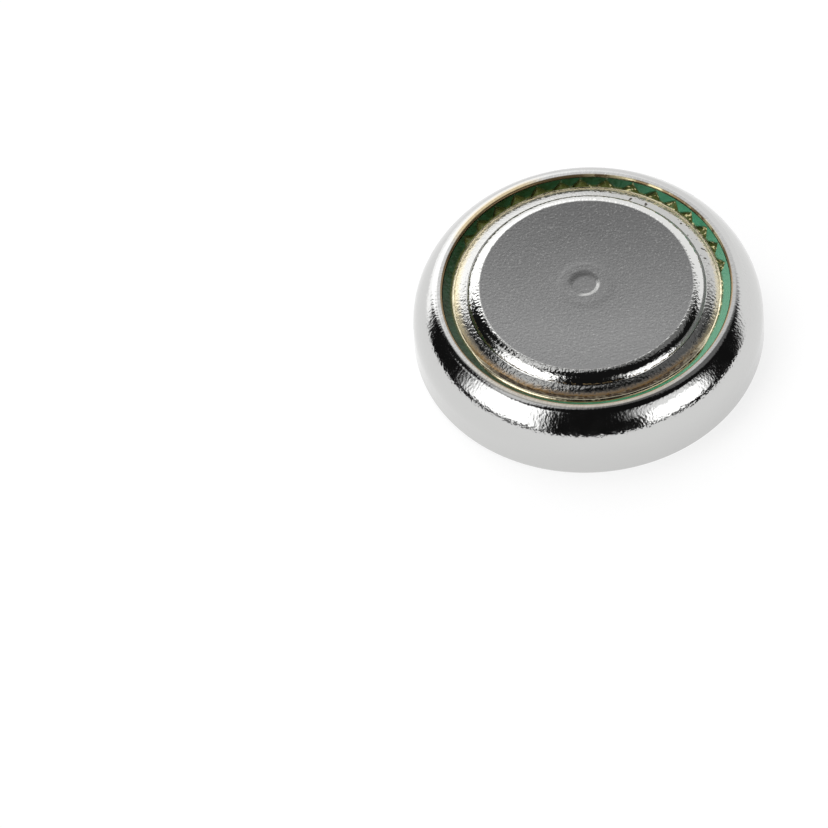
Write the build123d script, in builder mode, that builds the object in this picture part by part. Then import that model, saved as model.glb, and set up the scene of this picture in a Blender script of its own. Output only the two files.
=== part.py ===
from build123d import *

import os
from math import cos, radians, sin, sqrt

# Button cell, 11.6 mm size. All lengths are millimetres and all angles degrees. The cell stands on
# the can's flat base at z = 0, its axis is Z, and the negative cap faces up.
cell_diameter = 11.6
cell_height = 2.8

# Positive can, drawn and curled sheet steel. Every bend is given by its inside radius.
can_sheet = 0.2
base_bend = 0.05
curl_bend = 1.9
curl_turn = 45
rim_bend = 0.135
lip_run = 0.17
lip_bevel = 0.06
rim_below_contact = 0.22

# Negative cap, pressed from thinner sheet: contact face, step, shoulder, skirt and folded hem.
cap_sheet = 0.18
contact_bend = 0.28
contact_turn = 65
step_bend = 0.05
shoulder_slope = 8
shoulder_bend = 0.85
skirt_run = 0.25
hem_slit = 0.04
hem_rise = 0.6
fold_bevel = 0.1
dimple_radius = 0.5
dimple_wall = 0.09
dimple_depth = 0.05

# Sealing gasket, moulded nylon squeezed between can and cap. Its sloping face shows between the
# can's lip and the cap's shoulder, and is notched along its inner edge.
seal_gap = 0.02
gasket_wall = 0.459
face_reach = 0.32
face_below_rim = 0.08
foot_thickness = 0.22
foot_ledge = 0.22
notch_count = 15
notch_pitch = 9.7
first_notch = 10
notch_width = 0.64
notch_depth = 0.09
notch_land = 0.06

# Amber sealing compound in the groove between shoulder and gasket.
bead_leg = 0.1

# Cathode side: membrane, steel sleeve and pressed tablet on the can's base.
barrier_thickness = 0.06
barrier_margin = 0.3
sleeve_sheet = 0.12
sleeve_flange = 0.9
sleeve_fit = 0.02
pellet_fit = 0.02
pellet_bevel = 0.08

# Anode side: nonwoven pad in the gasket's bore and zinc gel that fills the cap.
pad_fit = 0.03
gel_fit = 0.02


def draw_skin(start, moves, sheet, depth):
    """Draw one line of a formed sheet's section and return where it ends.

    The moves follow the sheet's left-hand face from start, heading outward: a number is a straight
    run, and a pair is a bend's inside radius and its turn, positive to the left. The line keeps
    at depth to the right of that face, so 0 and sheet give the sheet's two skins.
    """
    heading = Vector(1, 0)
    point = Vector(*start) - Vector(0, depth)
    for move in moves:
        if isinstance(move, tuple):
            inside_radius, turn = move
            radius = inside_radius + (depth if turn > 0 else sheet - depth)
            point = JernArc(point, heading, radius, turn) @ 1
            heading = heading.rotate(Axis.Z, turn)
        else:
            point = Line(point, point + heading * move) @ 1
    return point


def end_of_skin(start, moves, sheet, depth):
    """Return where a sheet's line ends, and draw nothing."""
    with BuildLine():
        end = draw_skin(start, moves, sheet, depth)
    return end


# The can's section, from the centre of its base out, up the wall and over to the lip.
can_bore = cell_diameter / 2 - can_sheet
rim_height = cell_height - rim_below_contact
curl_rise = (curl_bend + can_sheet) * sin(radians(curl_turn))
rim_rise = (rim_bend + can_sheet) * (1 - sin(radians(curl_turn)))
side_run = rim_height - (base_bend + can_sheet) - curl_rise - rim_rise
can_start = (0, can_sheet)
curl_moves = [
    can_bore - base_bend,
    (base_bend, 90),
    side_run,
    (curl_bend, curl_turn),
    (rim_bend, 90 - curl_turn),
]
can_moves = curl_moves + [lip_run]

# The cap's section, from the centre of its contact face out and down to the skirt. The gasket's
# wall between can and hem says how wide the cap is.
cap_start = (0, cell_height)
crown_bends = [(contact_bend, -contact_turn), (step_bend, contact_turn - shoulder_slope)]
shoulder_turn = (shoulder_bend, shoulder_slope - 90)
hem_radius = can_bore - gasket_wall - 2 * seal_gap
skirt_radius = hem_radius - cap_sheet - hem_slit
contact_radius = skirt_radius - end_of_skin((0, 0), crown_bends + [shoulder_turn], cap_sheet, 0).X
crown_moves = [contact_radius] + crown_bends
shoulder_moves = crown_moves + [shoulder_turn]

# Where the folded hem stands, and what rests on what beneath it.
fold_foot = end_of_skin(cap_start, shoulder_moves, cap_sheet, 0).Y - skirt_run
hem_top = fold_foot + hem_rise
skirt_bore = skirt_radius - cap_sheet
foot_top = fold_foot - seal_gap
foot_bottom = foot_top - foot_thickness
foot_bore = skirt_bore - foot_ledge
pellet_top = foot_bottom - barrier_thickness

# The groove where the gasket's sloping face meets the shoulder, and the face's upper edge.
shoulder_start = end_of_skin(cap_start, crown_moves, cap_sheet, -seal_gap)
shoulder_round = shoulder_bend + cap_sheet + seal_gap
shoulder_centre = Vector(
    shoulder_start.X - shoulder_round * sin(radians(shoulder_slope)),
    shoulder_start.Y - shoulder_round * cos(radians(shoulder_slope)),
)
lip_end = end_of_skin(can_start, can_moves, can_sheet, -seal_gap)
face_edge = Vector(lip_end.X - seal_gap, rim_height - face_below_rim)


def on_shoulder(radius):
    """Return the point a sealing gap above the cap's shoulder at a distance from the axis."""
    reach = radius - shoulder_centre.X
    return Vector(radius, shoulder_centre.Y + sqrt(shoulder_round**2 - reach**2))


groove = on_shoulder(face_edge.X - face_reach)
face_direction = (face_edge - groove).normalized()
face_normal = face_direction.rotate(Axis.Z, 90)


with BuildPart() as positive_can:
    with BuildSketch(Plane.XZ):
        with BuildLine():
            outer_lip = draw_skin(can_start, curl_moves + [lip_run - lip_bevel], can_sheet, can_sheet)
            inner_lip = draw_skin(can_start, can_moves, can_sheet, 0)
            Polyline(outer_lip, (inner_lip.X, outer_lip.Y - lip_bevel), inner_lip)
            Line((0, 0), can_start)
        make_face()
    revolve(axis=Axis.Z)
positive_can.part.label = "positive_can"


with BuildPart() as negative_cap:
    with BuildSketch(Plane.XZ):
        with BuildLine():
            slit_foot = draw_skin(cap_start, shoulder_moves + [skirt_run - cap_sheet], cap_sheet, 0)
            Polyline(
                slit_foot,
                (skirt_radius + hem_slit, slit_foot.Y),
                (skirt_radius + hem_slit, hem_top),
                (hem_radius, hem_top),
                (hem_radius, fold_foot + fold_bevel),
                (hem_radius - fold_bevel, fold_foot),
                (skirt_bore + fold_bevel, fold_foot),
                (skirt_bore, fold_foot + fold_bevel),
            )
            draw_skin(cap_start, shoulder_moves + [skirt_run - fold_bevel], cap_sheet, cap_sheet)
            Line(cap_start, (0, cell_height - cap_sheet))
        make_face()
    revolve(axis=Axis.Z)
    # Coined dimple at the centre of the contact face.
    with BuildSketch(Plane.XZ):
        with BuildLine():
            Polyline(
                (0, cell_height),
                (dimple_radius, cell_height),
                (dimple_radius - dimple_wall, cell_height - dimple_depth),
                (0, cell_height - dimple_depth),
                close=True,
            )
        make_face()
    revolve(axis=Axis.Z, mode=Mode.SUBTRACT)
negative_cap.part.label = "negative_cap"


# Cutter for one notch: a wedge on the gasket's sloping face, wide at the groove and pointed
# towards the lip.
with BuildPart() as notch_cutter:
    slope = Plane(
        origin=(groove.X, 0, groove.Y),
        x_dir=(face_direction.X, 0, face_direction.Y),
        z_dir=(face_normal.X, 0, face_normal.Y),
    )
    notch_length = (face_edge - groove).length - notch_land
    with BuildSketch(slope.offset(-notch_depth)):
        with BuildLine():
            Polyline(
                (notch_length, 0),
                (-notch_length / 2, 3 / 4 * notch_width),
                (-notch_length / 2, -3 / 4 * notch_width),
                close=True,
            )
        make_face()
    extrude(amount=2 * notch_depth)


with BuildPart() as sealing_gasket:
    with BuildSketch(Plane.XZ):
        # All the space inside the can, up to the sloping face in its mouth,
        with BuildLine():
            under_lip = draw_skin(can_start, can_moves, can_sheet, -seal_gap)
            Polyline(
                under_lip,
                (face_edge.X, under_lip.Y),
                face_edge,
                groove,
                (shoulder_centre.X, groove.Y - cap_sheet),
                (0, groove.Y - cap_sheet),
                (0, can_sheet + seal_gap),
            )
        make_face()
        # less the cap down to its fold,
        with BuildLine():
            shoulder_end = draw_skin(cap_start, shoulder_moves, cap_sheet, -seal_gap)
            Polyline(shoulder_end, (shoulder_end.X, foot_top), (0, foot_top), (0, cell_height + seal_gap))
        make_face(mode=Mode.SUBTRACT)
        # less the folded hem,
        with BuildLine():
            Polyline(
                (0, foot_top),
                (hem_radius + seal_gap, foot_top),
                (hem_radius + seal_gap, hem_top + seal_gap),
                (0, hem_top + seal_gap),
                close=True,
            )
        make_face(mode=Mode.SUBTRACT)
        # and less what lies below the foot and inside its bore.
        with Locations((0, 0)):
            Rectangle(cell_diameter, 2 * foot_bottom, mode=Mode.SUBTRACT)
            Rectangle(2 * foot_bore, 2 * cell_height, mode=Mode.SUBTRACT)
    revolve(axis=Axis.Z)
    notch_range = notch_pitch * (notch_count - 1)
    with PolarLocations(0, notch_count, first_notch, notch_range, endpoint=True):
        add(notch_cutter.part, mode=Mode.SUBTRACT)
sealing_gasket.part.label = "sealing_gasket"


with BuildPart() as joint_sealant:
    with BuildSketch(Plane.XZ):
        with BuildLine():
            cap_toe = on_shoulder(groove.X - bead_leg)
            gasket_toe = groove + face_direction * bead_leg + face_normal * seal_gap
            Polyline(cap_toe, on_shoulder(groove.X - seal_gap), gasket_toe, close=True)
        make_face()
    revolve(axis=Axis.Z)
joint_sealant.part.label = "joint_sealant"


with BuildPart() as cathode_sleeve:
    sleeve_radius = can_bore - sleeve_fit
    sleeve_foot = can_sheet + base_bend
    with BuildSketch(Plane.XZ):
        with BuildLine():
            Polyline(
                (sleeve_radius, sleeve_foot),
                (sleeve_radius, pellet_top),
                (sleeve_radius - sleeve_flange, pellet_top),
                (sleeve_radius - sleeve_flange, pellet_top - sleeve_sheet),
                (sleeve_radius - sleeve_sheet, pellet_top - sleeve_sheet),
                (sleeve_radius - sleeve_sheet, sleeve_foot),
                close=True,
            )
        make_face()
    revolve(axis=Axis.Z)
cathode_sleeve.part.label = "cathode_sleeve"


with BuildPart() as cathode_pellet:
    pellet_radius = sleeve_radius - sleeve_sheet - pellet_fit
    crown_radius = sleeve_radius - sleeve_flange - pellet_fit
    pellet_step = pellet_top - sleeve_sheet - pellet_fit
    with BuildSketch(Plane.XZ):
        with BuildLine():
            Polyline(
                (0, can_sheet),
                (pellet_radius - pellet_bevel, can_sheet),
                (pellet_radius, can_sheet + pellet_bevel),
                (pellet_radius, pellet_step),
                (crown_radius, pellet_step),
                (crown_radius, pellet_top),
                (0, pellet_top),
                close=True,
            )
        make_face()
    revolve(axis=Axis.Z)
cathode_pellet.part.label = "cathode_pellet"


with BuildPart() as barrier_film:
    with BuildSketch(Plane.XY.offset(pellet_top)):
        Circle(can_bore - barrier_margin)
    extrude(amount=barrier_thickness)
barrier_film.part.label = "barrier_film"


with BuildPart() as absorbent_pad:
    with BuildSketch(Plane.XY.offset(foot_bottom)):
        Circle(foot_bore - pad_fit)
    extrude(amount=foot_thickness)
absorbent_pad.part.label = "absorbent_pad"


with BuildPart() as anode_gel:
    gel_top = cell_height - cap_sheet - gel_fit
    under_step = end_of_skin(cap_start, crown_moves, cap_sheet, cap_sheet + gel_fit)
    under_shoulder = end_of_skin(cap_start, shoulder_moves, cap_sheet, cap_sheet + gel_fit)
    with BuildSketch(Plane.XZ):
        with BuildLine():
            Polyline(
                (0, gel_top),
                (contact_radius, gel_top),
                (contact_radius, under_step.Y),
                under_shoulder,
                (under_shoulder.X, foot_top),
                (0, foot_top),
                close=True,
            )
        make_face()
    revolve(axis=Axis.Z)
anode_gel.part.label = "anode_gel"


os.makedirs("parts", exist_ok=True)
export_step(positive_can.part, "parts/positive_can.step")
export_step(negative_cap.part, "parts/negative_cap.step")
export_step(sealing_gasket.part, "parts/sealing_gasket.step")
export_step(joint_sealant.part, "parts/joint_sealant.step")
export_step(cathode_sleeve.part, "parts/cathode_sleeve.step")
export_step(cathode_pellet.part, "parts/cathode_pellet.step")
export_step(barrier_film.part, "parts/barrier_film.step")
export_step(absorbent_pad.part, "parts/absorbent_pad.step")
export_step(anode_gel.part, "parts/anode_gel.step")
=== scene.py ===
from math import acos, atan2, ceil, cos, degrees, hypot, pi, radians, sin, sqrt

import bmesh
import bpy
from mathutils import Matrix, Vector, noise


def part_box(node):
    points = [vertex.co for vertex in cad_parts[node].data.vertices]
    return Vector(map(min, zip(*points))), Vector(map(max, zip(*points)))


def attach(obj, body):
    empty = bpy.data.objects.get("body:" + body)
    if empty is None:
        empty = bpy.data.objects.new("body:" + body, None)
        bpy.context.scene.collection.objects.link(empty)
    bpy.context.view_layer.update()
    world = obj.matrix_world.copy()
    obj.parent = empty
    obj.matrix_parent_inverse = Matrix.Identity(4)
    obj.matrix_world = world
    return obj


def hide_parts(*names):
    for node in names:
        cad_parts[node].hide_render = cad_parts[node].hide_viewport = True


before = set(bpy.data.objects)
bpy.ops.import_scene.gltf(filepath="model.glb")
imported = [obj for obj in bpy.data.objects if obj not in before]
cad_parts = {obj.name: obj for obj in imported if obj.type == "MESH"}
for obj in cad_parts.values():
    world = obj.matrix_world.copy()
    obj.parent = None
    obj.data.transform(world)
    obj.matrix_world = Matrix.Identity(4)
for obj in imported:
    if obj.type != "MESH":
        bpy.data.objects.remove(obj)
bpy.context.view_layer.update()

mm = 0.001


# ---------------------------------------------------------------- sizes

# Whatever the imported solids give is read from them.
can_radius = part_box("positive_can")[1].x
rim_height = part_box("positive_can")[1].z
cap_low, cap_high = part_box("negative_cap")
hem_radius = cap_high.x
face_height = cap_high.z
fold_foot = cap_low.z
gasket_low, gasket_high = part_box("sealing_gasket")
foot_bottom = gasket_low.z
face_top = gasket_high.z

# Sheet and bends of the can. Every bend is given by its inside radius, and turns are in degrees.
can_sheet = 0.2 * mm
base_bend = 0.05 * mm
curl_bend = 1.9 * mm
curl_turn = 45
rim_bend = 0.135 * mm
lip_run = 0.17 * mm
lip_round = 0.06 * mm
burr_round = 0.02 * mm

# Sheet and bends of the cap, and the slight dish of its contact face.
cap_sheet = 0.18 * mm
contact_bend = 0.28 * mm
contact_turn = 65
step_bend = 0.05 * mm
shoulder_slope = 8
shoulder_bend = 0.85 * mm
skirt_run = 0.25 * mm
hem_slit = 0.04 * mm
hem_rise = 0.6 * mm
fold_round = 0.1 * mm
dish_turn = 1.2
dimple_radius = 0.56 * mm
dimple_bend = 0.2 * mm
dimple_turn = 24
dimple_lean = Vector((0.045, -0.13, 0)) * mm
dimple_aside = Vector((-0.08, 0.1, 0)) * mm
collar_bend = 2.2 * mm
collar_turn = 3.5
collar_gap = 0.22 * mm

# Gasket: its clearance, its foot, and the notched face between lip and shoulder. A notch's width is
# a share of the pitch, and it strays in place, in how short it is and in depth. The strays are
# drawn from a fixed seed, so that they are the same each run.
seal_gap = 0.02 * mm
foot_ledge = 0.22 * mm
foot_thickness = 0.22 * mm
face_reach = 0.32 * mm
face_rows = 14
notch_count = 15
notch_pitch = 9.7
first_notch = 10
notch_width = 0.95
notch_depth = 0.12 * mm
notch_land = 0.18
notch_strays = (0.22, 0.9, 0.4)
notch_seed = 15

# Sealing compound: how far it spreads over the shoulder and up the gasket's face.
film_spread = 0.05 * mm
film_climb = 0.02 * mm
film_height = 0.006 * mm
film_rows = 16
bead_middle = 272
bead_climb = 0.18 * mm
bead_height = 0.075 * mm

# Where finishes change, by distance from the axis: from the matt face to the bright bend, from that
# to the shoulder, from the shoulder to its stained foot, and from the can's lip to its crest.
matt_edge = 3.54 * mm
step_corner = 3.93 * mm
stain_edge = 4.26 * mm
lip_edge = 4.84 * mm

# The table top, narrow enough for the dark beyond it to show in the cell's sides, and a hair below
# the base, so that the two faces don't share a plane.
table_size = (38 * mm, 100 * mm)
table_middle = Vector((-2 * mm, 14 * mm, -0.01 * mm))

# The plus sign engraved in the base.
plus_arm = 0.85 * mm
plus_stroke = 0.05 * mm
plus_depth = 0.035 * mm
plus_turn = radians(-20)
plus_room = 1.2 * mm

# How finely bends and rounds are divided, and the flat kept beside each bend.
bend_step = 5
sheet_turns = 512
seal_turns = 1080
sectors = 8
hold = 0.015 * mm

outward = Vector((1, 0, 0))
upward = Vector((0, 0, 1))


# ---------------------------------------------------------------- mesh tools

def sheet_line(start, heading, moves):
    """Draw a section line in the XZ plane from a vertex: a number runs straight on, and a pair is a
    bend's radius and turn, positive to the left. Return the last vertex and the heading there."""
    bm, vertex = start
    for move in moves:
        if isinstance(move, tuple):
            radius, turn = move
            turned = Matrix.Rotation(-radians(turn), 3, "Y") @ heading
            if radius > 0:
                to_centre = Vector((-heading.z, 0, heading.x)) * (radius if turn > 0 else -radius)
                arc = bmesh.ops.spin(
                    bm, geom=[vertex], cent=vertex.co + to_centre, axis=(0, -1, 0),
                    angle=radians(turn), steps=max(2, ceil(abs(turn) / bend_step)),
                )
                vertex = next(v for v in arc["geom_last"] if isinstance(v, bmesh.types.BMVert))
            heading = turned
        else:
            stretches = (hold, move - 2 * hold, hold) if move > 4 * hold else (move,)
            for stretch in stretches:
                vertex = bmesh.ops.extrude_vert_indiv(bm, verts=[vertex])["verts"][0]
                vertex.co += heading * stretch
    return (bm, vertex), heading


def spin_round(bm, steps):
    """Spin the section drawn so far into one sector round the Z axis, repeat that all the way round,
    and close the seams and the poles."""
    sector_angle = 2 * pi / sectors
    bmesh.ops.spin(
        bm, geom=bm.verts[:] + bm.edges[:], cent=(0, 0, 0), axis=(0, 0, 1),
        angle=sector_angle, steps=steps // sectors,
    )
    bmesh.ops.spin(
        bm, geom=bm.verts[:] + bm.edges[:] + bm.faces[:], cent=(0, 0, 0), axis=(0, 0, 1),
        angle=2 * pi - sector_angle, steps=sectors - 1, use_duplicate=True,
    )
    bmesh.ops.remove_doubles(bm, verts=bm.verts[:], dist=1e-8)
    bmesh.ops.dissolve_degenerate(bm, edges=bm.edges[:], dist=1e-8)


def make_piece(bm, name, material, node, sharp=28):
    """Turn a finished bmesh into the piece that stands for a CAD node."""
    bmesh.ops.recalc_face_normals(bm, faces=bm.faces[:])
    mesh = bpy.data.meshes.new(name)
    bm.to_mesh(mesh)
    bm.free()
    mesh.shade_smooth()
    mesh.set_sharp_from_angle(angle=radians(sharp))
    mesh.materials.append(material)
    piece = bpy.data.objects.new(name, mesh)
    bpy.context.scene.collection.objects.link(piece)
    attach(piece, "root")
    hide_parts(node)
    return piece


def blend_in(value, low, high):
    """0 below low, 1 above high, and a smooth rise between."""
    share = min(max((value - low) / (high - low), 0), 1)
    return share * share * (3 - 2 * share)


# ---------------------------------------------------------------- material tools

def color(hex_code):
    """An sRGB hex colour as linear RGBA."""
    channels = [int(hex_code[i:i + 2], 16) / 255 for i in (0, 2, 4)]
    linear = [c / 12.92 if c <= 0.04045 else ((c + 0.055) / 1.055) ** 2.4 for c in channels]
    return (*linear, 1)


def add(tree, kind, links=None, **settings):
    """Add a node. Settings name its properties, or its inputs by name or by _number; links name the
    inputs that take another node's output."""
    node = tree.nodes.new(kind)
    inputs = {key: value for key, value in settings.items() if not hasattr(node, key)}
    for key in settings.keys() - inputs.keys():
        setattr(node, key, settings[key])
    for key, value in inputs.items():
        socket = int(key[1:]) if key[1:].isdigit() else key.replace("_", " ")
        node.inputs[socket].default_value = value
    for socket, source in (links or {}).items():
        tree.links.new(source, node.inputs[socket])
    return node


def new_material(name):
    """A new material with an empty node tree."""
    material = bpy.data.materials.new(name)
    material.use_nodes = True
    material.node_tree.nodes.clear()
    return material, material.node_tree


def round_the_axis(tree):
    """The place on the piece, the direction to it from the axis, its distance from the axis and its
    height."""
    place = add(tree, "ShaderNodeTexCoord").outputs["Object"]
    x, y, height = add(tree, "ShaderNodeSeparateXYZ", {0: place}).outputs
    flat = add(tree, "ShaderNodeCombineXYZ", {0: x, 1: y}).outputs[0]
    ring = add(tree, "ShaderNodeVectorMath", {0: flat}, operation="NORMALIZE").outputs[0]
    radius = add(tree, "ShaderNodeVectorMath", {0: flat}, operation="LENGTH").outputs["Value"]
    return place, ring, radius, height


def sheet_coordinates(tree, ring, radius, height, across, along):
    """Coordinates that follow a spun sheet: one unit is `across` round the can's wall and `along` up
    the section."""
    wide = add(
        tree, "ShaderNodeVectorMath", {0: ring}, operation="SCALE", Scale=can_radius / across,
    ).outputs[0]
    climb = add(tree, "ShaderNodeMath", {0: height, 1: radius}, operation="SUBTRACT").outputs[0]
    climb = add(tree, "ShaderNodeMath", {0: climb}, operation="DIVIDE", _1=along).outputs[0]
    lift = add(tree, "ShaderNodeCombineXYZ", {2: climb}).outputs[0]
    return add(tree, "ShaderNodeVectorMath", {0: wide, 1: lift}, operation="ADD").outputs[0]


def sector(tree, ring, middle, reach, edge):
    """1 within reach degrees of a direction round the axis, and 0 from edge degrees past it."""
    aim = (cos(radians(middle)), sin(radians(middle)), 0)
    along = add(
        tree, "ShaderNodeVectorMath", {0: ring}, operation="DOT_PRODUCT", _1=aim,
    ).outputs["Value"]
    return add(
        tree, "ShaderNodeMapRange", {0: along}, interpolation_type="SMOOTHSTEP",
        _1=cos(radians(reach + edge)), _2=cos(radians(reach)),
    ).outputs[0]


# ---------------------------------------------------------------- materials

def bright_nickel():
    """Bright nickel plate over drawn steel: a near mirror, a little clouded, whose drawing marks run
    up the wall, so that every reflection ends in a ragged edge, with brown sealing compound dried
    on the lip and a satin base."""
    material, tree = new_material("bright_nickel_plate")
    place, ring, radius, height = round_the_axis(tree)
    marks = sheet_coordinates(tree, ring, radius, height, 0.09 * mm, 0.15 * mm)
    # Drawing marks, which pull a reflection's edge up and down from one mark to the next. They
    # leave out the lip, which was rolled, and the base.
    streak = add(
        tree, "ShaderNodeTexNoise", {"Vector": marks}, Scale=1.0, Detail=1.5, Roughness=0.4,
    )
    drawn = add(tree, "ShaderNodeMapRange", {0: height}, _1=0.05 * mm, _2=0.3 * mm).outputs[0]
    marked = add(
        tree, "ShaderNodeMapRange", {0: radius}, _1=lip_edge + 0.11 * mm, _2=lip_edge + 0.28 * mm,
        _3=0.0006 * mm, _4=0.0065 * mm,
    )
    marked = add(tree, "ShaderNodeMath", {0: marked.outputs[0], 1: drawn}, operation="MULTIPLY")
    bump = add(
        tree, "ShaderNodeBump", {"Height": streak.outputs["Fac"], "Distance": marked.outputs[0]},
        Strength=1.0,
    )
    # Cloudy polish, which breaks the mirror up where it is dull.
    cloud = add(tree, "ShaderNodeTexNoise", {"Vector": place}, Scale=1 / (0.35 * mm), Detail=3.0)
    polish = add(
        tree, "ShaderNodeMapRange", {0: cloud.outputs["Fac"]}, _1=0.35, _2=0.75, _3=0.05, _4=0.13,
    )
    # The base keeps the satin finish of the strip.
    polish = add(tree, "ShaderNodeMix", {"Factor": drawn, "B": polish.outputs[0]}, A=0.3)
    # Sealing compound dried on the lip's rounded edge: brown, with painted pale gold highlight spots
    # on one side of the ring.
    lip = add(
        tree, "ShaderNodeMapRange", {0: radius}, _1=lip_edge + 0.02 * mm, _2=lip_edge - 0.02 * mm,
    )
    on_top = add(
        tree, "ShaderNodeMapRange", {0: height},
        _1=rim_height - 0.14 * mm, _2=rim_height - 0.1 * mm,
    )
    lip = add(
        tree, "ShaderNodeMath", {0: lip.outputs[0], 1: on_top.outputs[0]}, operation="MULTIPLY",
    )
    painted_lip_glints = add(tree, "ShaderNodeMapRange", {0: cloud.outputs["Fac"]}, _1=0.42, _2=0.52)
    painted_lip_glints = add(
        tree, "ShaderNodeMath", {0: painted_lip_glints.outputs[0], 1: sector(tree, ring, 52, 26, 14)},
        operation="MULTIPLY",
    )
    crust = add(
        tree, "ShaderNodeMix", {"Factor": painted_lip_glints.outputs[0]}, data_type="RGBA",
        A=color("8A7453"), B=color("EBDDB0"),
    )
    # The same compound wiped thinly over the crest in two places.
    faint = add(
        tree, "ShaderNodeMath", {0: sector(tree, ring, 262, 30, 24)}, operation="MULTIPLY", _1=0.35,
    )
    wiped = add(
        tree, "ShaderNodeMath", {0: sector(tree, ring, 128, 14, 12), 1: faint.outputs[0]},
        operation="MAXIMUM",
    )
    crest = add(
        tree, "ShaderNodeMapRange", {0: radius}, _1=lip_edge + 0.18 * mm, _2=lip_edge + 0.06 * mm,
    )
    crest = add(
        tree, "ShaderNodeMath", {0: crest.outputs[0], 1: on_top.outputs[0]}, operation="MULTIPLY",
    )
    wiped = add(
        tree, "ShaderNodeMath", {0: wiped.outputs[0], 1: crest.outputs[0]}, operation="MULTIPLY",
    )
    tone = add(
        tree, "ShaderNodeMix", {"Factor": wiped.outputs[0]}, data_type="RGBA",
        A=color("CBCBCA"), B=color("D2C09C"),
    )
    tone = add(
        tree, "ShaderNodeMix",
        {"Factor": lip.outputs[0], "A": tone.outputs["Result"], "B": crust.outputs["Result"]},
        data_type="RGBA",
    )
    bare = add(tree, "ShaderNodeMapRange", {0: lip.outputs[0]}, _3=1.0, _4=0.6)
    shader = add(
        tree, "ShaderNodeBsdfPrincipled",
        {"Base Color": tone.outputs["Result"], "Metallic": bare.outputs[0],
         "Roughness": polish.outputs[0], "Normal": bump.outputs[0]},
    )
    add(tree, "ShaderNodeOutputMaterial", {0: shader.outputs[0]})
    return material


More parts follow.
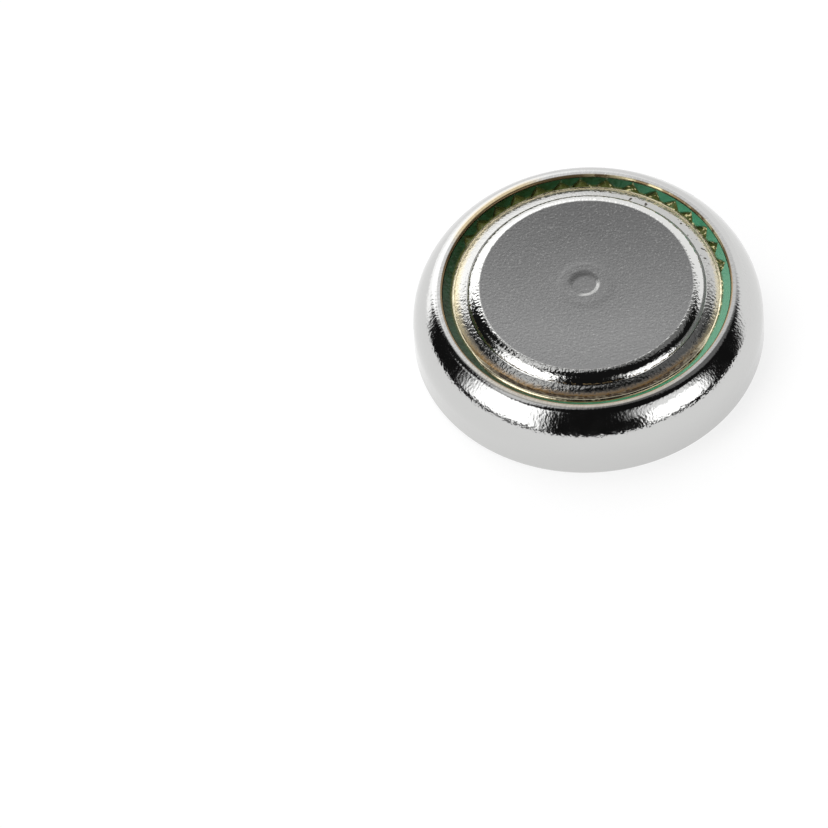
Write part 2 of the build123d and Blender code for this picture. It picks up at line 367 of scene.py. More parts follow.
def pressed_nickel():
    """Nickel clad steel pressed in a matt tool: a fine grained contact face, bright where the tool
    drew the metal over the step, satin and pitted on the shoulder, and stained gold beside the
    seal."""
    material, tree = new_material("pressed_nickel_clad_steel")
    place, ring, radius, height = round_the_axis(tree)
    marks = sheet_coordinates(tree, ring, radius, height, 0.16 * mm, 0.1 * mm)
    # Where each finish lies, by distance from the axis.
    face = add(
        tree, "ShaderNodeMapRange", {0: radius},
        _1=matt_edge + 0.02 * mm, _2=matt_edge - 0.025 * mm,
    ).outputs[0]
    shoulder = add(
        tree, "ShaderNodeMapRange", {0: radius}, _1=step_corner, _2=step_corner + 0.07 * mm,
    ).outputs[0]
    # Matt grain of the contact face, drawing marks of the bright bend, and pits of the shoulder.
    grain = add(tree, "ShaderNodeTexNoise", {"Vector": place}, Scale=1 / (0.09 * mm), Detail=1.5)
    streak = add(
        tree, "ShaderNodeTexNoise", {"Vector": marks}, Scale=1.0, Detail=1.0, Roughness=0.4,
    )
    relief = add(
        tree, "ShaderNodeMix",
        {"Factor": face, "A": streak.outputs["Fac"], "B": grain.outputs["Fac"]},
    )
    relief = add(
        tree, "ShaderNodeMix",
        {"Factor": shoulder, "A": relief.outputs[0], "B": grain.outputs["Fac"]},
    )
    depth = add(
        tree, "ShaderNodeMapRange", {0: radius}, _1=matt_edge, _2=matt_edge + 0.1 * mm,
        _3=0.007 * mm, _4=0.011 * mm,
    )
    bump = add(
        tree, "ShaderNodeBump", {"Height": relief.outputs[0], "Distance": depth.outputs[0]},
        Strength=1.0,
    )
    satin = add(tree, "ShaderNodeMix", {"Factor": shoulder}, A=0.06, B=0.12)
    rough = add(tree, "ShaderNodeMix", {"Factor": face, "A": satin.outputs[0]}, B=0.42)
    # Painted shade: the grey contact face is darker towards one side, between fine bare grains.
    slant = add(
        tree, "ShaderNodeVectorMath", {0: place}, operation="DOT_PRODUCT", _1=(0.15, 0.98, 0),
    )
    painted_side_shade = add(tree, "ShaderNodeMapRange", {0: slant.outputs["Value"]}, _1=-2.0 * mm, _2=3.3 * mm)
    face_tone_and_painted_light = add(
        tree, "ShaderNodeMix", {"Factor": painted_side_shade.outputs[0]}, data_type="RGBA",
        A=color("A1A1A1"), B=color("7C7C7C"),
    )
    bare = add(tree, "ShaderNodeTexNoise", {"Vector": place}, Scale=1 / (0.06 * mm), Detail=2.0)
    bare = add(tree, "ShaderNodeMapRange", {0: bare.outputs["Fac"]}, _1=0.57, _2=0.85, _4=0.5)
    face_tone_and_painted_light = add(
        tree, "ShaderNodeMix", {"Factor": bare.outputs[0], "A": face_tone_and_painted_light.outputs["Result"]},
        data_type="RGBA", B=color("E4E4E2"),
    )
    # Painted highlight: the steep side of the dimple is lightened on one side.
    spot = add(
        tree, "ShaderNodeVectorMath", {0: place},
        operation="DISTANCE", _1=(*dimple_aside.xy, face_height),
    ).outputs["Value"]
    inner = add(tree, "ShaderNodeMapRange", {0: spot}, _1=0.4 * mm, _2=0.44 * mm)
    outer = add(tree, "ShaderNodeMapRange", {0: spot}, _1=0.54 * mm, _2=0.5 * mm, _4=0.8)
    painted_dimple_highlight = add(
        tree, "ShaderNodeMath", {0: inner.outputs[0], 1: outer.outputs[0]}, operation="MULTIPLY",
    )
    painted_dimple_highlight = add(
        tree, "ShaderNodeMath", {0: painted_dimple_highlight.outputs[0], 1: sector(tree, ring, 310, 50, 40)},
        operation="MULTIPLY",
    )
    face_tone_and_painted_light = add(
        tree, "ShaderNodeMix", {"Factor": painted_dimple_highlight.outputs[0], "A": face_tone_and_painted_light.outputs["Result"]},
        data_type="RGBA", B=color("F0F0EE"),
    )
    metal = add(
        tree, "ShaderNodeMix", {"Factor": shoulder}, data_type="RGBA",
        A=color("DDDDDB"), B=color("C2C2C0"),
    )
    tone = add(
        tree, "ShaderNodeMix",
        {"Factor": face, "A": metal.outputs["Result"], "B": face_tone_and_painted_light.outputs["Result"]},
        data_type="RGBA",
    )
    # Painted shade darkens the corner of the step, on one side, and roughens it.
    inner = add(
        tree, "ShaderNodeMapRange", {0: radius},
        _1=step_corner - 0.07 * mm, _2=step_corner - 0.045 * mm,
    )
    outer = add(
        tree, "ShaderNodeMapRange", {0: radius},
        _1=step_corner + 0.04 * mm, _2=step_corner + 0.02 * mm,
    )
    painted_corner_shade = add(
        tree, "ShaderNodeMath", {0: inner.outputs[0], 1: outer.outputs[0]}, operation="MULTIPLY",
    )
    painted_corner_shade = add(
        tree, "ShaderNodeMath", {0: painted_corner_shade.outputs[0], 1: sector(tree, ring, 60, 85, 30)},
        operation="MULTIPLY",
    )
    tone = add(
        tree, "ShaderNodeMix", {"Factor": painted_corner_shade.outputs[0], "A": tone.outputs["Result"]},
        data_type="RGBA", B=color("9A9A9A"),
    )
    rough = add(tree, "ShaderNodeMix", {"Factor": painted_corner_shade.outputs[0], "A": rough.outputs[0]}, B=0.5)
    # A few specks of dirt on one part of the shoulder.
    specks = add(tree, "ShaderNodeTexNoise", {"Vector": place}, Scale=1 / (0.22 * mm), Detail=1.0)
    specks = add(tree, "ShaderNodeMapRange", {0: specks.outputs["Fac"]}, _1=0.66, _2=0.72)
    dirty = add(
        tree, "ShaderNodeMath", {0: shoulder, 1: sector(tree, ring, 45, 30, 20)},
        operation="MULTIPLY",
    )
    specks = add(
        tree, "ShaderNodeMath", {0: specks.outputs[0], 1: dirty.outputs[0]}, operation="MULTIPLY",
    )
    tone = add(
        tree, "ShaderNodeMix", {"Factor": specks.outputs[0], "A": tone.outputs["Result"]},
        data_type="RGBA", B=color("55524C"),
    )
    # Sealing compound has crept up the shoulder, furthest at the left and in front.
    front = sector(tree, ring, 265, 40, 35)
    reach = add(
        tree, "ShaderNodeMath", {0: sector(tree, ring, 190, 30, 40), 1: front}, operation="MAXIMUM",
    )
    creep = add(tree, "ShaderNodeMapRange", {0: reach.outputs[0]}, _3=0.04 * mm, _4=0.1 * mm)
    uneven = add(
        tree, "ShaderNodeMapRange", {0: grain.outputs["Fac"]}, _1=0.3, _2=0.7,
        _3=-0.035 * mm, _4=0.035 * mm,
    )
    edge = add(tree, "ShaderNodeMath", {0: radius, 1: creep.outputs[0]}, operation="ADD")
    edge = add(tree, "ShaderNodeMath", {0: edge.outputs[0], 1: uneven.outputs[0]}, operation="ADD")
    stain = add(
        tree, "ShaderNodeMapRange", {0: edge.outputs[0]}, _1=stain_edge, _2=stain_edge + 0.19 * mm,
    )
    thick = add(
        tree, "ShaderNodeMapRange", {0: edge.outputs[0]}, _1=stain_edge + 0.14 * mm,
        _2=stain_edge + 0.26 * mm,
    )
    thick = add(tree, "ShaderNodeMath", {0: thick.outputs[0], 1: front}, operation="MULTIPLY")
    amber_tone = add(
        tree, "ShaderNodeMix", {"Factor": front},
        data_type="RGBA", A=color("EADDB8"), B=color("B8925A"),
    )
    amber_tone = add(
        tree, "ShaderNodeMix", {"Factor": thick.outputs[0], "A": amber_tone.outputs["Result"]},
        data_type="RGBA", B=color("5E3E1C"),
    )
    tone = add(
        tree, "ShaderNodeMix",
        {"Factor": stain.outputs[0], "A": tone.outputs["Result"], "B": amber_tone.outputs["Result"]},
        data_type="RGBA",
    )
    # Both the stain and the painted corner shade lower the metallic share.
    cover = add(
        tree, "ShaderNodeMath", {0: stain.outputs[0], 1: painted_corner_shade.outputs[0]}, operation="MAXIMUM",
    )
    metallic = add(tree, "ShaderNodeMapRange", {0: cover.outputs[0]}, _3=1.0, _4=0.4)
    shader = add(
        tree, "ShaderNodeBsdfPrincipled",
        {"Base Color": tone.outputs["Result"], "Metallic": metallic.outputs[0],
         "Roughness": rough.outputs[0], "Normal": bump.outputs[0]},
    )
    add(tree, "ShaderNodeOutputMaterial", {0: shader.outputs[0]})
    return material


def green_nylon():
    """Moulded nylon, squeezed hard and wetted with sealing compound: a waxy green with a painted
    sheen that makes it paler round one side, darker and murkier round another, and olive in the
    notches and the groove."""
    material, tree = new_material("moulded_green_nylon")
    place, ring = round_the_axis(tree)[:2]
    tone = add(tree, "ShaderNodeTexNoise", {"Vector": place}, Scale=1 / (0.35 * mm), Detail=3.0)
    clean = add(
        tree, "ShaderNodeMix", {"Factor": tone.outputs["Fac"]}, data_type="RGBA",
        A=color("236645"), B=color("4C9C75"),
    )
    # Painted sheen: paler green round one side of the ring.
    painted_sheen = sector(tree, ring, 345, 22, 28)
    shade = add(
        tree, "ShaderNodeMix", {"Factor": painted_sheen, "A": clean.outputs["Result"]},
        data_type="RGBA", B=color("5F9C7C"),
    )
    # Darker, murkier green round one side of the ring, in patches.
    murk = sector(tree, ring, 158, 74, 46)
    cloudy = add(
        tree, "ShaderNodeMapRange", {0: tone.outputs["Fac"]}, _1=0.35, _2=0.6, _3=0.85, _4=1.0,
    )
    murk = add(tree, "ShaderNodeMath", {0: murk, 1: cloudy.outputs[0]}, operation="MULTIPLY")
    shade = add(
        tree, "ShaderNodeMix", {"Factor": murk.outputs[0], "A": shade.outputs["Result"]},
        data_type="RGBA", B=color("1C3214"),
    )
    # Olive sealing compound where the notches and the groove hold it.
    wetted = add(tree, "ShaderNodeAttribute", attribute_name="wetted").outputs["Fac"]
    pool = add(
        tree, "ShaderNodeMix", {"Factor": tone.outputs["Fac"]}, data_type="RGBA",
        A=color("2F3A12"), B=color("6C6F38"),
    )
    # Painted gold highlight spots on the compound, on one side of the ring.
    painted_drop_glints = add(tree, "ShaderNodeTexNoise", {"Vector": place}, Scale=1 / (0.12 * mm), Detail=1.0)
    painted_drop_glints = add(tree, "ShaderNodeMapRange", {0: painted_drop_glints.outputs["Fac"]}, _1=0.6, _2=0.66)
    painted_drop_glints = add(
        tree, "ShaderNodeMath", {0: painted_drop_glints.outputs[0], 1: sector(tree, ring, 28, 40, 30)},
        operation="MULTIPLY",
    )
    pool = add(
        tree, "ShaderNodeMix", {"Factor": painted_drop_glints.outputs[0], "A": pool.outputs["Result"]},
        data_type="RGBA", B=color("E9DEA8"),
    )
    shade = add(
        tree, "ShaderNodeMix",
        {"Factor": wetted, "A": shade.outputs["Result"], "B": pool.outputs["Result"]},
        data_type="RGBA",
    )
    ripple = add(tree, "ShaderNodeTexNoise", {"Vector": place}, Scale=1 / (0.1 * mm), Detail=2.0)
    bump = add(
        tree, "ShaderNodeBump", {"Height": ripple.outputs["Fac"]}, Strength=1.0, Distance=0.02 * mm,
    )
    shader = add(
        tree, "ShaderNodeBsdfPrincipled",
        {"Base Color": shade.outputs["Result"], "Normal": bump.outputs[0]},
        Roughness=0.28, IOR=1.4,
    )
    add(tree, "ShaderNodeOutputMaterial", {0: shader.outputs[0]})
    return material


def amber_sealant():
    """Cured sealing compound over the plated shoulder: so thin at its edge that the metal shines
    through it pale gold, and glossy brown where it is thick."""
    material, tree = new_material("cured_amber_sealant")
    place = add(tree, "ShaderNodeTexCoord").outputs["Object"]
    flow = add(tree, "ShaderNodeTexNoise", {"Vector": place}, Scale=1 / (0.14 * mm), Detail=3.0)
    patch = add(
        tree, "ShaderNodeMapRange", {0: flow.outputs["Fac"]}, _1=0.3, _2=0.7, _3=-0.2, _4=0.15,
    )
    depth = add(tree, "ShaderNodeAttribute", attribute_name="thickness").outputs["Fac"]
    depth = add(
        tree, "ShaderNodeMath", {0: depth, 1: patch.outputs[0]}, operation="ADD", use_clamp=True,
    )
    tone = add(
        tree, "ShaderNodeMix", {"Factor": depth.outputs[0]}, data_type="RGBA",
        A=color("F0E6C6"), B=color("2A1C0C"),
    )
    metal = add(tree, "ShaderNodeMapRange", {0: depth.outputs[0]}, _2=0.4, _3=1.0, _4=0.0)
    bump = add(
        tree, "ShaderNodeBump", {"Height": flow.outputs["Fac"]}, Strength=1.0, Distance=0.003 * mm,
    )
    shader = add(
        tree, "ShaderNodeBsdfPrincipled",
        {"Base Color": tone.outputs["Result"], "Metallic": metal.outputs[0],
         "Normal": bump.outputs[0]},
        Roughness=0.16, IOR=1.33,
    )
    add(tree, "ShaderNodeOutputMaterial", {0: shader.outputs[0]})
    return material


def plain_steel():
    """Unplated strip steel with the fine lines of rolling and a dim, hazy finish."""
    material, tree = new_material("rolled_strip_steel")
    ring, radius, height = round_the_axis(tree)[1:]
    marks = sheet_coordinates(tree, ring, radius, height, 1.5 * mm, 0.05 * mm)
    lines = add(tree, "ShaderNodeTexNoise", {"Vector": marks}, Scale=1.0, Detail=3.0)
    tone = add(
        tree, "ShaderNodeMix", {"Factor": lines.outputs["Fac"]}, data_type="RGBA",
        A=color("9A9A98"), B=color("C2C2C0"),
    )
    rough = add(tree, "ShaderNodeMapRange", {0: lines.outputs["Fac"]}, _3=0.25, _4=0.45)
    shader = add(
        tree, "ShaderNodeBsdfPrincipled",
        {"Base Color": tone.outputs["Result"], "Roughness": rough.outputs[0]}, Metallic=1.0,
    )
    add(tree, "ShaderNodeOutputMaterial", {0: shader.outputs[0]})
    return material


def pressed_grains(name, dark, pale, grain, lumps, roughness):
    """A bed of powder grains: each grain has its own tone and stands up from the ground."""
    material, tree = new_material(name)
    place = add(tree, "ShaderNodeTexCoord").outputs["Object"]
    cells = add(tree, "ShaderNodeTexVoronoi", {"Vector": place}, Scale=1 / grain)
    split = add(tree, "ShaderNodeSeparateColor", {0: cells.outputs["Color"]})
    tone = add(
        tree, "ShaderNodeMix", {"Factor": split.outputs[0]},
        data_type="RGBA", A=color(dark), B=color(pale),
    )
    bump = add(
        tree, "ShaderNodeBump", {"Height": cells.outputs["Distance"]}, invert=True,
        Strength=1.0, Distance=lumps,
    )
    shader = add(
        tree, "ShaderNodeBsdfPrincipled",
        {"Base Color": tone.outputs["Result"], "Normal": bump.outputs[0]},
        Roughness=roughness,
    )
    add(tree, "ShaderNodeOutputMaterial", {0: shader.outputs[0]})
    return material


def clear_membrane():
    """Cellophane and grafted film: a clear, faintly yellow sheet with shallow wrinkles."""
    material, tree = new_material("cellophane_membrane")
    place = add(tree, "ShaderNodeTexCoord").outputs["Object"]
    wrinkle = add(tree, "ShaderNodeTexNoise", {"Vector": place}, Scale=1 / (1.2 * mm), Detail=2.0)
    tone = add(
        tree, "ShaderNodeMix", {"Factor": wrinkle.outputs["Fac"]}, data_type="RGBA",
        A=color("D9CDA4"), B=color("F0E8CE"),
    )
    bump = add(
        tree, "ShaderNodeBump", {"Height": wrinkle.outputs["Fac"]},
        Strength=1.0, Distance=0.03 * mm,
    )
    shader = add(
        tree, "ShaderNodeBsdfPrincipled",
        {"Base Color": tone.outputs["Result"], "Normal": bump.outputs[0]},
        Roughness=0.18, IOR=1.47,
    )
    add(tree, "ShaderNodeOutputMaterial", {0: shader.outputs[0]})
    return material


def nonwoven_felt():
    """Nonwoven pad: white fibres pressed across each other."""
    material, tree = new_material("nonwoven_felt")
    place = add(tree, "ShaderNodeTexCoord").outputs["Object"]
    warped = add(tree, "ShaderNodeTexNoise", {"Vector": place}, Scale=1 / (0.4 * mm), Detail=1.0)
    fibre = add(
        tree, "ShaderNodeTexWave", {"Vector": place}, Scale=1 / (0.5 * mm), Distortion=14.0,
        Detail=3.0, Detail_Scale=1.4,
    )
    height = add(
        tree, "ShaderNodeMath", {0: fibre.outputs["Fac"], 1: warped.outputs["Fac"]},
        operation="MULTIPLY",
    )
    tone = add(
        tree, "ShaderNodeMix", {"Factor": height.outputs[0]}, data_type="RGBA",
        A=color("C9C6BC"), B=color("F4F2EC"),
    )
    bump = add(
        tree, "ShaderNodeBump", {"Height": height.outputs[0]}, Strength=1.0, Distance=0.02 * mm,
    )
    shader = add(
        tree, "ShaderNodeBsdfPrincipled",
        {"Base Color": tone.outputs["Result"], "Normal": bump.outputs[0]},
        Roughness=0.85,
    )
    add(tree, "ShaderNodeOutputMaterial", {0: shader.outputs[0]})
    return material


bright = bright_nickel()
pressed = pressed_nickel()
nylon = green_nylon()
amber = amber_sealant()


# ---------------------------------------------------------------- can

def drawn_can():
    """The can, drawn and curled from one sheet, with a plus sign engraved under its base."""
    side_run = (
        rim_height - base_bend - can_sheet
        - (curl_bend + can_sheet) * sin(radians(curl_turn))
        - (rim_bend + can_sheet) * (1 - sin(radians(curl_turn)))
    )
    bm = bmesh.new()
    end, heading = sheet_line((bm, bm.verts.new((plus_room, 0, 0))), outward, [
        can_radius - base_bend - can_sheet - plus_room,
        (base_bend + can_sheet, 90),
        side_run,
        (curl_bend + can_sheet, curl_turn),
        (rim_bend + can_sheet, 90 - curl_turn),
        lip_run - lip_round,
        (lip_round, 90),
        can_sheet - lip_round - burr_round,
        (burr_round, 90),
        lip_run - burr_round,
        (rim_bend, curl_turn - 90),
        (curl_bend, -curl_turn),
        side_run,
        (base_bend, -90),
    ])
    sheet_line(end, heading, [end[1].co.x])
    spin_round(bm, sheet_turns)
    opening = [edge for edge in bm.edges if edge.is_boundary]

    # The plus sign's outline, with round ends, and the flat base round it.
    corner = bm.verts.new((plus_stroke, 0, -plus_stroke))
    arm = [plus_arm - 2 * plus_stroke, (plus_stroke, 180), plus_arm - 2 * plus_stroke, (0, -90)]
    sheet_line((bm, corner), outward, arm * 4)
    outline = [vertex for vertex in bm.verts if vertex.is_wire]
    bmesh.ops.rotate(
        bm, verts=outline, cent=(0, 0, 0),
        matrix=Matrix.Rotation(plus_turn, 3, "Z") @ Matrix.Rotation(radians(-90), 3, "X"),
    )
    bmesh.ops.remove_doubles(bm, verts=outline, dist=1e-8)
    outline = [edge for edge in bm.edges if edge.is_wire]
    bmesh.ops.triangle_fill(bm, use_beauty=True, edges=opening + outline)

    # Its groove, pressed up into the sheet.
    wall = bmesh.ops.extrude_edge_only(bm, edges=outline)["geom"]
    bmesh.ops.translate(
        bm, verts=[v for v in wall if isinstance(v, bmesh.types.BMVert)], vec=upward * plus_depth,
    )
    floor = [edge for edge in wall if isinstance(edge, bmesh.types.BMEdge) and edge.is_boundary]
    bmesh.ops.triangle_fill(bm, use_beauty=True, edges=floor)
    return make_piece(bm, "drawn_can", bright, "positive_can")


# ---------------------------------------------------------------- cap

def pressed_cap():
    """The cap, pressed from one sheet and folded back on itself at the foot."""
    skirt_radius = hem_radius - cap_sheet - hem_slit
    dimple_reach = 2 * dimple_bend * sin(radians(dimple_turn))
    bm = bmesh.new()
    slit_corner = (bm, bm.verts.new((skirt_radius, 0, fold_foot + cap_sheet)))
    end, heading = sheet_line(slit_corner, upward, [
        skirt_run - cap_sheet,
        (shoulder_bend + cap_sheet, 90 - shoulder_slope),
        (step_bend, shoulder_slope - contact_turn),
        (contact_bend + cap_sheet, contact_turn + dish_turn),
    ])
    # Down the dish of the contact face, up a low collar, down the dimple's rounded wall and over
    # its floor.
    collar_run = 2 * collar_bend * sin(radians(collar_turn)) + collar_gap
    dish_radius = (end[1].co.x - dimple_radius - collar_run) / sin(radians(dish_turn))
    sheet_line(end, heading, [
        (dish_radius, -dish_turn),
        (collar_bend, -collar_turn),
        (collar_bend, collar_turn),
        collar_gap,
        (dimple_bend, dimple_turn),
        (dimple_bend, -dimple_turn),
        (dimple_radius - dimple_reach) / 2, (dimple_radius - dimple_reach) / 2,
    ])
    end, heading = sheet_line(slit_corner, outward, [
        hem_slit, (0, 90),
        hem_rise - cap_sheet, (0, -90),
        cap_sheet, (0, -90),
        hem_rise - fold_round, (fold_round, -90),
        2 * cap_sheet + hem_slit - 2 * fold_round, (fold_round, -90),
        skirt_run - fold_round,
        (shoulder_bend, 90 - shoulder_slope),
        (step_bend + cap_sheet, shoulder_slope - contact_turn),
        (contact_bend, contact_turn),
    ])
    sheet_line(end, heading, [end[1].co.x])
    spin_round(bm, sheet_turns)

    # The punch stood a little aside and leaned, so that the dimple is deepest on one side.
    for vertex in bm.verts:
        radius = hypot(vertex.co.x, vertex.co.y)
        inside = blend_in(dimple_radius - radius, 0, dimple_reach)
        beside = blend_in(radius, 2 * dimple_radius, dimple_radius)
        vertex.co += dimple_lean * inside + dimple_aside * beside
    return make_piece(bm, "pressed_cap", pressed, "negative_cap")


# ---------------------------------------------------------------- gasket and sealant

# The shoulder's round, a sealing gap above the cap's sheet.
shoulder_round = shoulder_bend + cap_sheet + seal_gap
shoulder_centre = Vector((
    hem_radius - cap_sheet - hem_slit - shoulder_bend - cap_sheet, 0, fold_foot + skirt_run,
))
lip_radius = can_radius - (curl_bend + can_sheet) * (1 - cos(radians(curl_turn))) \
    - (rim_bend + can_sheet) * cos(radians(curl_turn)) - lip_run
face_edge = Vector((lip_radius - seal_gap, 0, face_top))
groove_radius = face_edge.x - face_reach


def over_shoulder(radius):
    """Height a sealing gap above the cap's shoulder, at a distance from the axis."""
    return shoulder_centre.z + sqrt(shoulder_round**2 - (radius - shoulder_centre.x)**2)


groove = Vector((groove_radius, 0, over_shoulder(groove_radius)))


def hollow(turn, climb):
    """How deep a notch is, from 0 to 1, at an angle round the axis and a share of the way up the
    face. Each notch narrows towards the lip, and a low ridge runs down its middle."""
    number = min(max(round((turn - first_notch) / notch_pitch), 0), notch_count - 1)
    odds = noise.noise_vector(Vector((number, 0.5, 0.5)))
    along, shorter, deeper = (most * odd for most, odd in zip(notch_strays, odds))
    aside = abs(turn - first_notch - (number + along) * notch_pitch) / (notch_pitch / 2)
    width = notch_width * max(1 - climb / (1 - notch_land * (1 + shorter)), 0) ** 0.9
    wall = blend_in(width - aside, -0.08, 0.12)
    ridge = 1 - 0.5 * max(1 - aside / max(width, 0.01), 0)
    return wall * ridge * blend_in(climb, 0, 0.3) * (1 + deeper)


def moulded_gasket():
    """The gasket, squeezed between can and cap, with the notched face that shows in the can's
    mouth."""
    can_bore = can_radius - can_sheet
    inner_lip = rim_height - can_sheet - seal_gap
    curl_foot = (
        rim_height - (curl_bend + can_sheet) * sin(radians(curl_turn))
        - (rim_bend + can_sheet) * (1 - sin(radians(curl_turn)))
    )
    skirt_radius = hem_radius - cap_sheet - hem_slit
    foot_bore = skirt_radius - cap_sheet - foot_ledge
    shoulder_reach = degrees(acos((groove.x - shoulder_centre.x) / shoulder_round))
    bm = bmesh.new()
    foot = (bm, bm.verts.new((foot_bore, 0, foot_bottom)))
    # Out to the can's wall, up inside its curl, under the lip and out of the mouth.
    edge, _ = sheet_line(foot, outward, [
        can_bore - seal_gap - foot_bore, (0, 90),
        curl_foot - foot_bottom,
        (curl_bend - seal_gap, curl_turn),
        (rim_bend - seal_gap, 90 - curl_turn),
        lip_run + seal_gap, (0, -90),
        face_top - inner_lip,
    ])
    # Over the foot, round the folded hem and up the shoulder.
    toe, _ = sheet_line(foot, upward, [
        foot_thickness, (0, -90),
        hem_radius + seal_gap - foot_bore, (0, 90),
        hem_rise + 2 * seal_gap, (0, 90),
        hem_radius + seal_gap - (skirt_radius + seal_gap), (0, -90),
        shoulder_centre.z - (fold_foot + hem_rise + seal_gap),
        (shoulder_round, shoulder_reach),
    ])
    # The face itself, in rows fine enough for the notches.
    vertex = toe[1]
    for _ in range(face_rows):
        vertex = bmesh.ops.extrude_vert_indiv(bm, verts=[vertex])["verts"][0]
        vertex.co += (edge[1].co - toe[1].co) / face_rows
    spin_round(bm, seal_turns)

    # Press the notches into the face, and note where the compound wets it.
    noise.seed_set(notch_seed)
    wetted = bm.verts.layers.float.new("wetted")
    up_face = (face_edge - groove).normalized()
    for vertex in bm.verts:
        radius, turn = hypot(vertex.co.x, vertex.co.y), degrees(atan2(vertex.co.y, vertex.co.x))
        climb = (radius - groove.x) / face_reach
        level = groove.z + (face_edge.z - groove.z) * climb
        if 0 < climb < 1 and abs(vertex.co.z - level) < 0.001 * mm:
            depth = hollow(turn, climb)
            vertex[wetted] = max(min(depth * 2, 1), 1 - blend_in(climb, 0.1, 0.35))
            inward = Vector((
                up_face.z * cos(radians(turn)), up_face.z * sin(radians(turn)), -up_face.x,
            ))
            vertex.co += inward * depth * notch_depth
    return make_piece(bm, "moulded_gasket", nylon, "sealing_gasket")


def spread_film():
    """The sealing compound in the groove: a thin film that runs unevenly up the shoulder, and swells
    to a bead on one side."""
    bm = bmesh.new()
    vertex = bm.verts.new((groove.x, 0, 0))
    for _ in range(film_rows):
        vertex = bmesh.ops.extrude_vert_indiv(bm, verts=[vertex])["verts"][0]
        vertex.co.z += 1 / film_rows
    spin_round(bm, seal_turns)

    # So far the height only tells the share of the way across the film.
    thickness = bm.verts.layers.float.new("thickness")
    for vertex in bm.verts:
        share, turn = vertex.co.z, atan2(vertex.co.y, vertex.co.x)
        ring = Vector((cos(turn), sin(turn), 0))
        towards = cos(turn - radians(bead_middle)) + 0.1 * noise.noise(ring * 4)
        swell = blend_in(towards, 0.42, 0.72)
        waver = 0.6 * noise.noise(ring * 3) + 0.3 * noise.noise(ring * 17)
        spread = film_spread * (0.8 + waver + 0.9 * swell)
        inside = groove.x - max(spread, 0.2 * film_spread)
        outside = groove.x + film_climb + bead_climb * swell
        radius = inside + (outside - inside) * share
        slope = (face_edge.z - groove.z) / face_reach
        ground = max(over_shoulder(radius) - seal_gap, groove.z + slope * (radius - groove.x))
        foot, top = over_shoulder(inside), groove.z + slope * (outside - groove.x)
        flat = (1 - share) * foot + share * top
        coat = ground + film_height * sin(pi * min(share, 0.97))
        bead = flat + bead_height * 6.75 * share**2 * (1 - share)
        vertex.co = ring * radius + upward * (coat + (bead - coat) * swell)
        body = 1 - blend_in(share, 0.66, 0.76)
        vertex[thickness] = 0.12 + (body - 0.12) * swell
    return make_piece(bm, "sealant_film", amber, "joint_sealant")


drawn_can()
pressed_cap()
moulded_gasket()
spread_film()

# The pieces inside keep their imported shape.
inner_materials = {
    "cathode_sleeve": plain_steel(),
    "cathode_pellet": pressed_grains(
        "pressed_silver_oxide", "0B0B0D", "26262A", 0.06 * mm, 0.01 * mm, 0.75,
    ),
    "barrier_film": clear_membrane(),
    "absorbent_pad": nonwoven_felt(),
    "anode_gel": pressed_grains(
        "gelled_zinc_powder", "4A4C50", "8E9196", 0.14 * mm, 0.04 * mm, 0.4,
    ),
}
for name, material in inner_materials.items():
    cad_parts[name].data.materials.clear()
    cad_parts[name].data.materials.append(material)


# ---------------------------------------------------------------- floor, light and camera

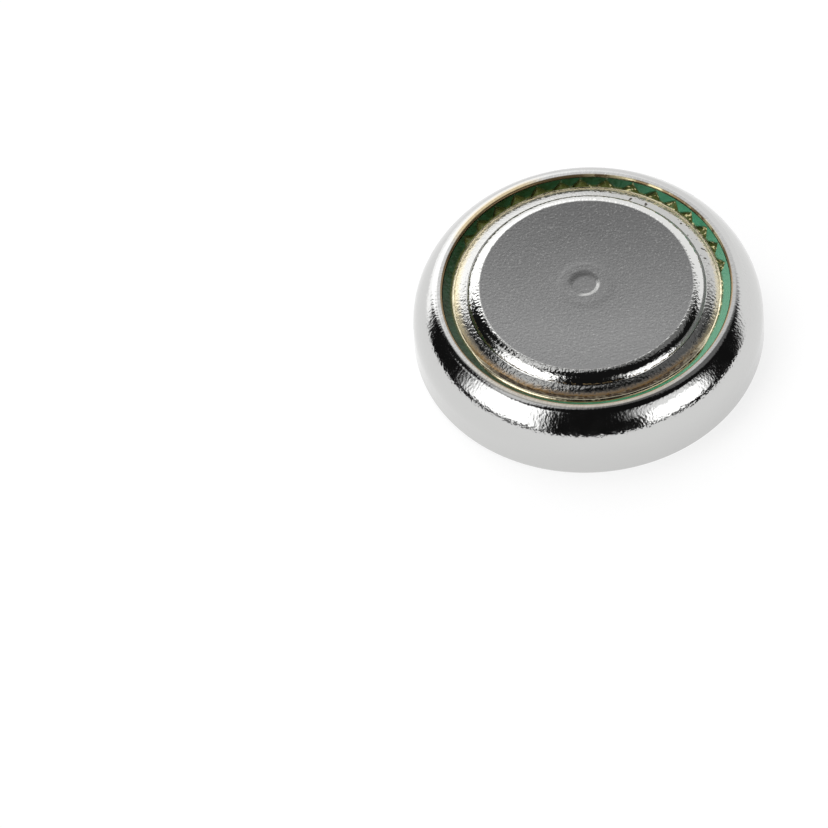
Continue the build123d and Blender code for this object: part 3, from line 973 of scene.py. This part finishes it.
def studio_world():
    """A pale tent behind the cell, a soft box on each side in front, and dark gaps between them, as
    bright metal is lit. Each panel of light is given by its place round the cell, from the left to
    the right with 0 in front, by its place above the table, and by how softly it ends."""
    world = bpy.data.worlds.new("studio")
    world.use_nodes = True
    tree = world.node_tree
    tree.nodes.clear()
    way = add(tree, "ShaderNodeTexCoord").outputs["Generated"]
    x, y, z = add(tree, "ShaderNodeSeparateXYZ", {0: way}).outputs
    ahead = add(tree, "ShaderNodeMath", {0: y}, operation="MULTIPLY", _1=-1.0).outputs[0]
    turn = add(tree, "ShaderNodeMath", {0: x, 1: ahead}, operation="ARCTAN2").outputs[0]
    turn = add(tree, "ShaderNodeMath", {0: turn}, operation="DEGREES").outputs[0]
    rise = add(tree, "ShaderNodeMath", {0: z}, operation="ARCSINE").outputs[0]
    rise = add(tree, "ShaderNodeMath", {0: rise}, operation="DEGREES").outputs[0]
    # How far round from the tent's middle, which stands a little left of straight behind, and how
    # high up its flat wall.
    behind = add(tree, "ShaderNodeMath", {0: turn}, operation="ADD", _1=9.0).outputs[0]
    behind = add(tree, "ShaderNodeMath", {0: behind}, operation="ABSOLUTE").outputs[0]
    wall = add(tree, "ShaderNodeMath", {0: z, 1: y}, operation="DIVIDE").outputs[0]
    lean = add(tree, "ShaderNodeMath", {0: rise}, operation="MULTIPLY", _1=0.4).outputs[0]
    behind = add(tree, "ShaderNodeMath", {0: behind, 1: lean}, operation="SUBTRACT").outputs[0]
    # Each light: its level, then what each of its ends is measured along, where it is dark and
    # where it is full.
    lights = {
        "left soft box": (2.0, (turn, -88, -68), (turn, -25, -40), (rise, -2, 3), (rise, 62, 48)),
        "its upper left": (0.9, (turn, -106, -88), (turn, -60, -76), (rise, 28, 42), (rise, 66, 58)),
        "right soft box": (2.0, (turn, 26, 33), (turn, 76, 62), (rise, -2, 2), (rise, 24, 18)),
        "its dimmer top": (1.15, (turn, 14, 36), (turn, 74, 56), (rise, 16, 24), (rise, 40, 30)),
        "light overhead": (
            0.82, (turn, -184, -156), (turn, -70, -92), (rise, 60, 68), (rise, 80, 74),
        ),
        "dim ceiling": (0.16, (turn, 92, 112), (rise, 48, 58), (rise, 76, 68)),
        "tent wall": (1.02, (behind, 106, 118), (wall, 1.5, 1.1)),
        "brighter left wall": (0.5, (behind, 106, 118), (wall, 1.5, 1.1), (x, -0.1, -0.7)),
        "high left wall": (
            0.62, (behind, 106, 118), (wall, 1.5, 1.1), (x, 0.12, -0.12), (rise, 8, 40),
        ),
        "top of the wall": (0.5, (turn, -152, -170), (rise, 44, 52), (rise, 70, 62)),
    }
    level = add(tree, "ShaderNodeValue").outputs[0]
    level.default_value = 0.008
    for strength, *ends in lights.values():
        light = add(tree, "ShaderNodeValue").outputs[0]
        light.default_value = strength
        for along, dark, full in ends:
            end = add(
                tree, "ShaderNodeMapRange", {0: along}, interpolation_type="SMOOTHSTEP",
                _1=dark, _2=full,
            ).outputs[0]
            light = add(
                tree, "ShaderNodeMath", {0: light, 1: end}, operation="MULTIPLY",
            ).outputs[0]
        level = add(tree, "ShaderNodeMath", {0: level, 1: light}, operation="ADD").outputs[0]
    seen = add(tree, "ShaderNodeLightPath").outputs["Is Camera Ray"]
    level = add(tree, "ShaderNodeMath", {0: level, 1: seen}, operation="MAXIMUM").outputs[0]
    background = add(tree, "ShaderNodeBackground", {"Strength": level}, Color=(1, 1, 1, 1))
    add(tree, "ShaderNodeOutputWorld", {0: background.outputs[0]})
    bpy.context.scene.world = world


def pale_floor():
    """A white table top. It is lit from within as a light table is, so that only a soft shadow
    shows round what stands on it."""
    material, tree = new_material("white_table_top")
    board = add(tree, "ShaderNodeBsdfDiffuse", Color=(0.9, 0.9, 0.9, 1))
    glow = add(tree, "ShaderNodeEmission", Color=(1, 1, 1, 1), Strength=1.1)
    mixed = add(tree, "ShaderNodeMixShader", {1: board.outputs[0], 2: glow.outputs[0]}, Fac=0.72)
    add(tree, "ShaderNodeOutputMaterial", {0: mixed.outputs[0]})
    bm = bmesh.new()
    bmesh.ops.create_grid(
        bm, x_segments=1, y_segments=1, size=0.5, matrix=Matrix.Diagonal((*table_size, 1, 1)),
    )
    bmesh.ops.translate(bm, verts=bm.verts[:], vec=table_middle)
    mesh = bpy.data.meshes.new("table_top")
    bm.to_mesh(mesh)
    bm.free()
    mesh.materials.append(material)
    table = bpy.data.objects.new("table_top", mesh)
    bpy.context.scene.collection.objects.link(table)


def studio_lamp():
    """A wide soft light above, for the ground shadow and the matt surfaces only."""
    light = bpy.data.lights.new("overhead_softbox", "AREA")
    light.shape = "DISK"
    light.size = 0.5
    light.energy = 1.6
    lamp = bpy.data.objects.new("overhead_softbox", light)
    lamp.location = (-0.15, 0.15, 0.5)
    lamp.rotation_euler = (-lamp.location).to_track_quat("-Z", "Y").to_euler()
    lamp.visible_glossy = False
    lamp.visible_camera = False
    bpy.context.scene.collection.objects.link(lamp)


def studio_camera():
    """Look down on the cell from in front, through a long lens."""
    aim = Vector((-5.975, -2.706, 0)) * mm
    drop, roll, distance = radians(52.3), radians(-4.042), 713.7 * mm
    back = Vector((0, -cos(drop), sin(drop)))
    right, up = Vector((1, 0, 0)), Vector((0, sin(drop), cos(drop)))
    across = right * cos(roll) + up * sin(roll)
    upright = up * cos(roll) - right * sin(roll)
    lens = bpy.data.cameras.new("camera")
    lens.sensor_width = 36
    lens.lens = 938.9
    camera = bpy.data.objects.new("camera", lens)
    turned = Matrix((across, upright, back)).transposed().to_4x4()
    camera.matrix_world = Matrix.Translation(aim + back * distance) @ turned
    bpy.context.scene.collection.objects.link(camera)
    bpy.context.scene.camera = camera


studio_world()
pale_floor()
studio_lamp()
studio_camera()
bpy.context.scene.view_settings.view_transform = "Standard"
